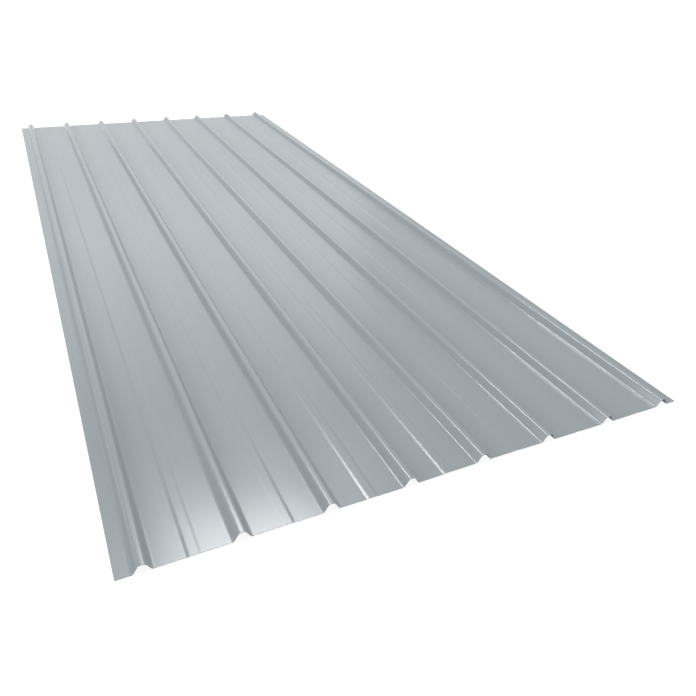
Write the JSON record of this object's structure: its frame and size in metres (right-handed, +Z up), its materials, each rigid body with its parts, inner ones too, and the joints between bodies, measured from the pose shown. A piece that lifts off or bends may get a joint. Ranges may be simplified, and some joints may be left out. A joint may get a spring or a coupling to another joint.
{
  "type": "metal roofing sheet",
  "caption": "Flat-lying trapezoidal steel roofing sheet with narrow full-length ribs, wide pans with a low stiffening bead each, and plain lap flanges.",
  "frame": {"origin": "midway along and across the sheet, at the level of the undersides of the pans, where the sheet rests", "axes": "+X across the ribs, +Y along the ribs, +Z up, the side the ribs stand on"},
  "size_m": [1.035, 2.4, 0.014],
  "materials": {
    "coil_coated_steel": "smooth semi-gloss polyester coil coating, light blue-grey"
  },
  "bodies": {
    "root": {"roofing_sheet": "coil_coated_steel"}
  },
  "joints": []
}
